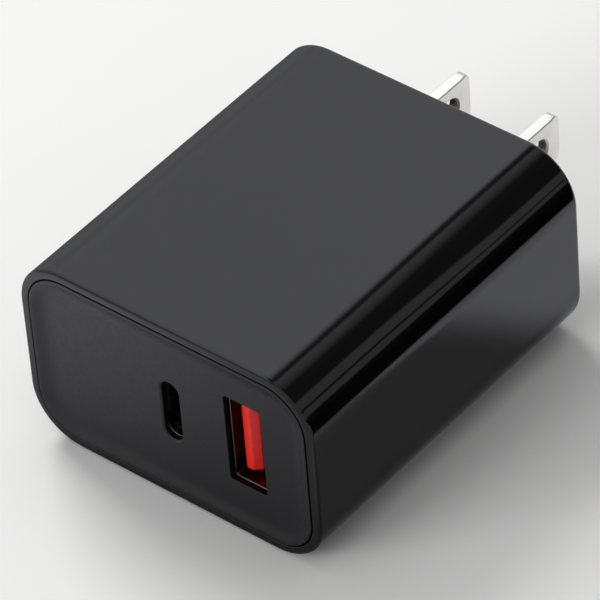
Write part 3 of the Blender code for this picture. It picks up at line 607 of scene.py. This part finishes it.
def make_blade(side):
    """A flat blade with a tapered tip, rounded edges and a hole near its end."""
    low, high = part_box(f"blade_{side}")
    middle = (low + high) / 2
    half_z = (high.z - low.z) / 2
    taper_from = high.y - BLADE_TAPER_LENGTH
    outline = [(low.y, half_z), (low.y, -half_z)]
    for turn, side_z in ((-1, -1), (0, 1)):
        for step in range(ARC_STEPS * 2 + 1):
            angle = math.radians(90) * (turn + step / (ARC_STEPS * 2))
            y = high.y - BLADE_CORNER + BLADE_CORNER * math.cos(angle)
            outline.append((y, side_z * (half_z - BLADE_CORNER) + BLADE_CORNER * math.sin(angle)))
    bm = bmesh.new()
    sides = []
    for x in (low.x, high.x):
        sides.append([bm.verts.new((x, y, middle.z + z)) for y, z in outline])
    bridge(bm, *sides)
    for loop in sides:
        bm.faces.new(loop)
    bmesh.ops.recalc_face_normals(bm, faces=bm.faces)
    everything = bm.verts[:] + bm.edges[:] + bm.faces[:]
    bmesh.ops.bisect_plane(bm, geom=everything, plane_co=(0, taper_from, 0), plane_no=(0, 1, 0))
    for vert in bm.verts:
        past = max(vert.co.y - taper_from, 0.0) / BLADE_TAPER_LENGTH
        vert.co.x = middle.x + (vert.co.x - middle.x) * (1.0 - BLADE_TAPER * past)
    rims = []
    for edge in bm.edges:
        if len(edge.link_faces) == 2 and edge.calc_face_angle(0.0) > BLADE_RIM_ANGLE:
            rims.append(edge)
    bmesh.ops.bevel(bm, geom=rims, offset=BLADE_EDGE, segments=3, profile=0.5, affect="EDGES")
    blade = to_object(f"plug_blade_{side}", bm, BLADE_SHARP_ANGLE)
    drill = make_drill(middle, (high.x - low.x) / 2, high.y - BLADE_HOLE_FROM_TIP)
    combine(blade, [drill], "DIFFERENCE")
    flatten_shading(blade)
    dress(blade, "nickel", (f"blade_{side}",))


# ---------------------------------------------------------------- sockets


def make_shell(name, node, centre, low, high, corner, bead_inset):
    """A drawn metal shell with a rounded bead round its mouth."""
    half_x = (high.x - low.x) / 2
    half_z = (high.z - low.z) / 2
    lip = SHELL_LIP / 2
    bead_end = SHELL_FRONT + SHELL_BEAD_END
    sections = arc(SHELL_FRONT + lip, bead_inset + lip, lip, 90, 270)
    sections += [(bead_end, 0.0), (high.y, 0.0), (high.y, SHELL_WALL), (bead_end, SHELL_WALL)]

    def outline_at(inset):
        return rounded_rectangle(half_x - inset, half_z - inset, corner - inset, ARC_STEPS * 2)

    bm = bmesh.new()
    loops_through(bm, sections, outline_at, centre, closed=True)
    shell = to_object(name, bm)
    flatten_shading(shell)
    dress(shell, "bright_steel", (node,))


def make_base(name, centre, low, high, corner, depth):
    """The block that closes a socket's shell, from this deep behind its mouth to its back."""
    half_x = (high.x - low.x) / 2
    half_z = (high.z - low.z) / 2
    start = low.y + depth

    def outline_at(extra):
        inset = SHELL_WALL + BASE_FIT + extra
        return rounded_rectangle(half_x - inset, half_z - inset, corner - inset, ARC_STEPS)

    sections = [(start, BASE_EDGE), (start + BASE_EDGE, 0.0), (high.y, 0.0)]
    return solid_block(name, sections, outline_at, centre)


def make_usb_a():
    low, high = USB_A_LOW, USB_A_HIGH
    mouth = low.y
    make_shell("usb_a_sleeve", "usb_a_shell", USB_A, low, high, USB_A_CORNER, USB_A_BEAD_INSET)
    base = make_base("tongue_block", USB_A, low, high, USB_A_CORNER, USB_A_BASE_DEPTH)
    left, right = (USB_A.x + x for x in USB_A_TONGUE_X)
    bottom, top = (USB_A.z + z for z in USB_A_TONGUE_Z)
    nose = mouth + USB_A_NOSE_DEPTH
    root = mouth + USB_A_TONGUE_ROOT
    outline = [
        (left, root),
        (left, nose),
        (left + USB_A_NOSE_FLAT, nose),
        (right, nose + USB_A_NOSE_SLOPE),
        (right, root),
    ]
    combine(base, [prism("tongue", outline, bottom, top, USB_A_TONGUE_EDGE)], "UNION")
    grooves = []
    for number in range(1, 5):
        contact_low, contact_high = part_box(f"usb_a_contact_{number}")
        start = (USB_A.x + GROOVE_X[0], mouth + GROOVE_START, contact_low.z - GROOVE_GAP)
        end = (USB_A.x + GROOVE_X[1], high.y + MM, contact_high.z + GROOVE_GAP)
        grooves.append(box_solid(f"groove_{number}", start, end))
    combine(base, grooves, "DIFFERENCE")
    flatten_shading(base)
    dress(base, "red_plastic", ("usb_a_insulator",))
    for number in range(1, 5):
        make_contact_spring(number, mouth)


def smooth_path(points, steps):
    """Catmull-Rom curve through the points."""
    path = []
    padded = [points[0], *points, points[-1]]
    for index in range(1, len(padded) - 2):
        before, start, end, after = (Vector(p) for p in padded[index - 1:index + 3])
        for step in range(steps):
            t = step / steps
            slope = (end - before) * t
            bend = (2 * before - 5 * start + 4 * end - after) * t * t
            twist = (3 * start - before - 3 * end + after) * t * t * t
            path.append(0.5 * (2 * start + slope + bend + twist))
    path.append(Vector(points[-1]))
    return path


def strip_outline(path, thickness):
    left = []
    right = []
    for index, point in enumerate(path):
        run = path[min(index + 1, len(path) - 1)] - path[max(index - 1, 0)]
        side = Vector((-run.y, run.x)).normalized() * thickness / 2
        left.append(point + side)
        right.append(point - side)
    return left + right[::-1]


def make_contact_spring(number, mouth):
    low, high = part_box(f"usb_a_contact_{number}")
    points = [(USB_A.x + x * MM, mouth + y * MM) for x, y in SPRING_PATH]
    path = smooth_path(points, SPRING_STEPS)
    outline = [tuple(point) for point in strip_outline(path, SPRING_THICK)]
    spring = prism(f"contact_spring_{number}", outline, low.z, high.z)
    bevel = spring.modifiers.new("edges", "BEVEL")
    bevel.width = SPRING_EDGE
    bevel.segments = 2
    bevel.limit_method = "ANGLE"
    bevel.angle_limit = math.radians(60)
    dress(spring, "gold", (f"usb_a_contact_{number}",), f"contact_spring_{number}")


def make_usb_c():
    low, high = USB_C_LOW, USB_C_HIGH
    mouth = low.y
    make_shell("usb_c_sleeve", "usb_c_shell", USB_C, low, high, USB_C_CORNER, 0.0)
    base = make_base("slim_tongue_block", USB_C, low, high, USB_C_CORNER, USB_C_BASE_DEPTH)
    half_x, half_z = USB_C_TONGUE_HALF
    tongue_low = (USB_C.x - half_x, mouth + USB_C_TONGUE_FRONT, USB_C.z - half_z)
    tongue_high = (USB_C.x + half_x, mouth + USB_C_TONGUE_ROOT, USB_C.z + half_z)
    tongue = box_solid("slim_tongue", tongue_low, tongue_high, USB_C_TONGUE_EDGE)
    combine(base, [tongue], "UNION")
    holes = []
    for number in range(1, 7):
        pin_low, pin_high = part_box(f"usb_c_contact_{number}")
        start = pin_low - PIN_HOLE_GAP
        end = pin_high + PIN_HOLE_GAP
        start.y = mouth + PIN_HOLE_START
        end.y = high.y + MM
        holes.append(box_solid(f"pin_hole_{number}", start, end))
    combine(base, holes, "DIFFERENCE")
    flatten_shading(base)
    dress(base, "dark_plastic", ("usb_c_insulator",))


# ---------------------------------------------------------------- carried-over nodes


def dress_carried_nodes():
    slots = {row["node"]: row["material_slot"] for row in frame["record"]["subparts"]}
    for name, node in frame["nodes"].items():
        node.data.materials.clear()
        node.data.materials.append(MATERIALS[slots[name]])


# ---------------------------------------------------------------- stage, lights and camera


FLOOR_Z = -0.1 * MM
GLOW_Z = -0.05 * MM  # the sheet that the gloss reflects lies just above the floor
GLOW_BEHIND = 0.95  # its radiance behind the object
GLOW_STEP = 0.002


def plane(name, low, high, z, material):
    bm = bmesh.new()
    corners = ((low[0], low[1], z), (high[0], low[1], z), (high[0], high[1], z), (low[0], high[1], z))
    bm.faces.new([bm.verts.new(corner) for corner in corners])
    obj = to_object(name, bm)
    obj.data.materials.append(material)


def make_floor():
    surface = Surface("floor_paper", (0.80, 0.80, 0.795), 0.9)
    surface.vary_colour(surface.noise(40 * MM, 2.0), (0.785, 0.785, 0.78))
    surface.vary_roughness(surface.noise(6 * MM), 0.85, 0.95)
    surface.relief(surface.noise(0.5 * MM), 0.01 * MM, 0.3)
    surface.set(Specular_IOR_Level=0.2)
    plane("floor", (-4.0, -4.0), (4.0, 4.0), FLOOR_Z, surface.material)


# Light tent: strips along the object that show only in its reflections. Each row has the strip
# edge's angle from overhead, positive to the right, where it shows at the front and at the back
# of the object, and its radiance. The rows were set by comparing the brightness of the
# rounded edges in the photo and in the render.
TENT_RADIUS = 0.6
TENT_FRONT = 0.371  # y on the tent that the object's front end reflects
TENT_BACK = 0.412  # and its back end
TENT_ENDS = (-0.5, 1.3)
TENT = (
    (-90.0, -90.0, 0.45),
    (-76.7, -76.7, 0.58),
    (-66.5, -66.5, 0.74),
    (-65.6, -65.8, 0.60),
    (-64.9, -64.5, 0.60),
    (-64.0, -63.6, 0.78),
    (-56.7, -56.7, 0.90),
    (-46.7, -46.7, 1.06),
    (-36.7, -36.7, 1.18),
    (-26.0, -26.5, 1.30),
    (-20.5, -23.5, 0.95),
    (-14.2, -18.2, 0.14),
    (-9.2, -12.4, 0.11),
    (-4.5, -8.5, 0.62),
    (2.0, -4.0, 0.55),
    (9.0, 3.0, 0.36),
    (17.0, 12.0, 0.08),
    (30.0, 30.0, 0.06),
    (44.5, 54.0, 0.07),
    (48.5, 58.0, 0.50),
    (62.5, 69.5, 0.48),
    (64.2, 71.0, 0.06),
    (66.6, 72.2, 0.06),
    (68.5, 73.8, 0.46),
    (78.5, 79.0, 0.44),
    (81.5, 82.0, 0.02),
    (90.0, 90.0, 0.02),
)


def glow_material(name):
    """A faintly blue emitter whose radiance is the mesh's own attribute."""
    material = bpy.data.materials.new(name)
    material.use_nodes = True
    nodes = material.node_tree.nodes
    nodes.remove(nodes["Principled BSDF"])
    glow = nodes.new("ShaderNodeEmission")
    level = nodes.new("ShaderNodeAttribute")
    level.attribute_name = "radiance"
    glow.inputs["Color"].default_value = (0.955, 0.96, 1.0, 1.0)
    links = material.node_tree.links
    links.new(level.outputs["Fac"], glow.inputs["Strength"])
    links.new(glow.outputs["Emission"], nodes["Material Output"].inputs["Surface"])
    return material


def light_grid(name, rows):
    """A sheet of light through rows of (x, y, z, radiance), seen only in reflections."""
    bm = bmesh.new()
    level = bm.verts.layers.float.new("radiance")
    verts = []
    for row in rows:
        line = []
        for x, y, z, radiance in row:
            vert = bm.verts.new((x, y, z))
            vert[level] = radiance
            line.append(vert)
        verts.append(line)
    for first, second in zip(verts, verts[1:]):
        for index in range(len(first) - 1):
            bm.faces.new((first[index], first[index + 1], second[index + 1], second[index]))
    mesh = bpy.data.meshes.new(name)
    bm.to_mesh(mesh)
    bm.free()
    sheet = bpy.data.objects.new(name, mesh)
    bpy.context.scene.collection.objects.link(sheet)
    mesh.materials.append(glow_material(name))
    for kind in ("camera", "diffuse", "shadow", "transmission", "volume_scatter"):
        setattr(sheet, f"visible_{kind}", False)


def make_tent():
    rows = []
    places = (TENT_ENDS[0], TENT_FRONT, TENT_BACK, TENT_ENDS[1])
    for front_angle, back_angle, radiance in TENT:
        row = []
        for y, angle in zip(places, (front_angle, front_angle, back_angle, back_angle)):
            turn = math.radians(angle)
            row.append((TENT_RADIUS * math.sin(turn), y, TENT_RADIUS * math.cos(turn), radiance))
        rows.append(row)
    light_grid("light_tent", rows)


def ease(value, start, end):
    share = min(max((value - start) / (end - start), 0.0), 1.0)
    return share * share * (3.0 - 2.0 * share)


def floor_glow(x, y):
    """Painted reflection of the table top, as the gloss sees it: pale, with a painted shadow of the object
    close to it.

    Set, like the tent, by comparing the gloss in the photo and in the render. Metres.
    """
    if y < FRONT:
        # In front: painted shadow, darkest near the object and to its right.
        level = (0.32 + 0.66 * ease(-x, -0.010, 0.034)) * (0.50 + 0.50 * ease(-y, 0.030, 0.050))
        level += 0.22 * ease(x, 0.011, 0.019) * ease(-y, 0.036, 0.044)
        return level
    if x < 0:
        # To the left: painted shadow, darkest next to the object.
        level = 0.38 * (1.0 - math.exp(-max(-x - 0.030, 0.0) / 0.060))
    else:
        # To the right: painted shadow of the object, lighter further out and behind its back end.
        shade = 0.18 + 0.32 * ease(x, 0.031, 0.054)
        level = shade + (0.78 - shade) * ease(y + (x - 0.025) / 2, 0.0095, 0.0195)
        # A painted dark band further out to the right.
        level *= 1.0 - ease(x, 0.051, 0.0585) * ease(y, -0.030, -0.010)
        # Painted contact shade right beside the object.
        level *= 0.70 + 0.30 * ease(x, 0.0215, 0.0265)
    behind = ease(y, 0.026, 0.045) * ease(0.052 - abs(x), 0.0, 0.010)
    return level + (GLOW_BEHIND - level) * behind


def spread(low, fine_low, fine_high, high, step):
    """Coordinates that are close together in the middle and far apart outside."""
    count = round((fine_high - fine_low) / step)
    inner = [fine_low + step * index for index in range(count + 1)]
    outer_low = [low, (low + fine_low) / 2, fine_low - 0.2, fine_low - 0.08, fine_low - 0.03]
    outer_high = [fine_high + 0.03, fine_high + 0.08, fine_high + 0.2, (high + fine_high) / 2, high]
    return outer_low + inner + outer_high


def make_floor_glow():
    xs = spread(-2.0, -0.12, 0.10, 2.0, GLOW_STEP)
    ys = spread(-2.0, -0.08, 0.08, 2.0, GLOW_STEP)
    light_grid("floor_glow", [[(x, y, GLOW_Z, floor_glow(x, y)) for x in xs] for y in ys])


def area_light(name, centre, size, radiance, glossy):
    """A rectangular light of even radiance, facing the object."""
    data = bpy.data.lights.new(name, "AREA")
    data.shape = "RECTANGLE"
    data.size = size[0]
    data.size_y = size[1]
    data.energy = radiance * math.pi * size[0] * size[1]
    light = bpy.data.objects.new(name, data)
    bpy.context.scene.collection.objects.link(light)
    light.location = centre
    light.rotation_euler = (MIDDLE - Vector(centre)).to_track_quat("-Z", "Y").to_euler()
    light.visible_camera = False
    light.visible_glossy = glossy


def make_lights():
    area_light("key", (-0.50, 0.22, 0.50), (0.30, 0.30), 12.0, True)
    area_light("top", (-0.10, 0.10, 0.80), (0.9, 0.9), 0.6, False)
    area_light("front", (-0.32, -0.80, 0.30), (0.5, 0.5), 6.0, False)


WORLD_STRENGTH = 0.35
WORLD_REFLECTED = 0.5  # where a reflection misses the tent and the floor sheet


def make_world():
    """Even pale light, with its own strength in reflections."""
    world = bpy.data.worlds.new("studio")
    bpy.context.scene.world = world
    world.use_nodes = True
    nodes = world.node_tree.nodes
    links = world.node_tree.links
    pale = nodes["Background"]
    pale.inputs["Color"].default_value = (1.0, 1.0, 1.0, 1.0)
    pale.inputs["Strength"].default_value = WORLD_STRENGTH
    reflected = nodes.new("ShaderNodeBackground")
    reflected.inputs["Color"].default_value = (1.0, 1.0, 1.0, 1.0)
    reflected.inputs["Strength"].default_value = WORLD_REFLECTED
    rays = nodes.new("ShaderNodeLightPath")
    mix = nodes.new("ShaderNodeMixShader")
    links.new(rays.outputs["Is Glossy Ray"], mix.inputs["Fac"])
    links.new(pale.outputs["Background"], mix.inputs[1])
    links.new(reflected.outputs["Background"], mix.inputs[2])
    links.new(mix.outputs["Shader"], nodes["World Output"].inputs["Surface"])


CAMERA_AZIMUTH = math.radians(41.985)
CAMERA_ELEVATION = math.radians(41.863)
CAMERA_ROLL = math.radians(-4.875)
CAMERA_DISTANCE = 0.6405
CAMERA_SHIFT = (-0.00048, -0.00069)
CAMERA_LENS = 348.6


def make_camera():
    azimuth, elevation, roll = CAMERA_AZIMUTH, CAMERA_ELEVATION, CAMERA_ROLL
    back = Vector(
        (
            math.sin(azimuth) * math.cos(elevation),
            -math.cos(azimuth) * math.cos(elevation),
            math.sin(elevation),
        )
    )
    level = Vector((math.cos(azimuth), math.sin(azimuth), 0.0))
    upright = back.cross(level)
    right = level * math.cos(roll) + upright * math.sin(roll)
    up = upright * math.cos(roll) - level * math.sin(roll)
    data = bpy.data.cameras.new("camera")
    data.lens = CAMERA_LENS
    data.sensor_width = 36.0
    data.clip_start = 0.01
    data.clip_end = 20.0
    camera = bpy.data.objects.new("camera", data)
    bpy.context.scene.collection.objects.link(camera)
    place = MIDDLE + back * CAMERA_DISTANCE + right * CAMERA_SHIFT[0] + up * CAMERA_SHIFT[1]
    turn = Matrix((right, up, back)).transposed()
    camera.matrix_world = Matrix.Translation(place) @ turn.to_4x4()
    bpy.context.scene.camera = camera


bpy.context.scene.view_settings.view_transform = "Standard"
make_camera()
make_world()
make_lights()
make_floor()
make_tent()
make_floor_glow()
dress_carried_nodes()
make_sleeve()
make_panel()
make_rear_cover()
for blade_side in ("left", "right"):
    make_blade(blade_side)
make_usb_a()
make_usb_c()
